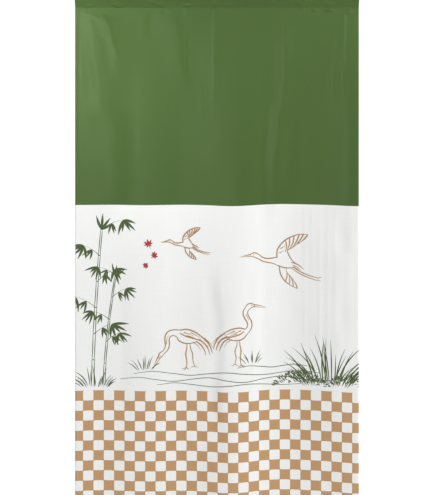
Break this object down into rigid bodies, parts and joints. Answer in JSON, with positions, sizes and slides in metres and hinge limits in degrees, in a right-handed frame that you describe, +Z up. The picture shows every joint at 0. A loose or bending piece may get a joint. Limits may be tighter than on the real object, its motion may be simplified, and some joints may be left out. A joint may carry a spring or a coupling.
{
  "type": "noren curtain",
  "caption": "Long one-piece noren door curtain: green head, white middle, tan and white checked foot, with a sewn rod pocket along the top.",
  "frame": {"origin": "middle of the pocket's top edge, straight above the line where a rod's centre would run", "axes": "+X along the rod to the curtain's right as seen from the front, -Y towards the viewer at the front, +Z up; the cloth hangs down along -Z"},
  "size_m": [0.8502, 0.0245, 1.5041],
  "materials": {
    "green_cloth": "matt dyed plain weave, leaf green",
    "printed_cloth": "matt printed plain weave: green head, off-white middle, tan and white checks at the foot"
  },
  "bodies": {
    "root": {"rod_pocket": "green_cloth", "curtain_cloth": "printed_cloth"}
  },
  "joints": []
}
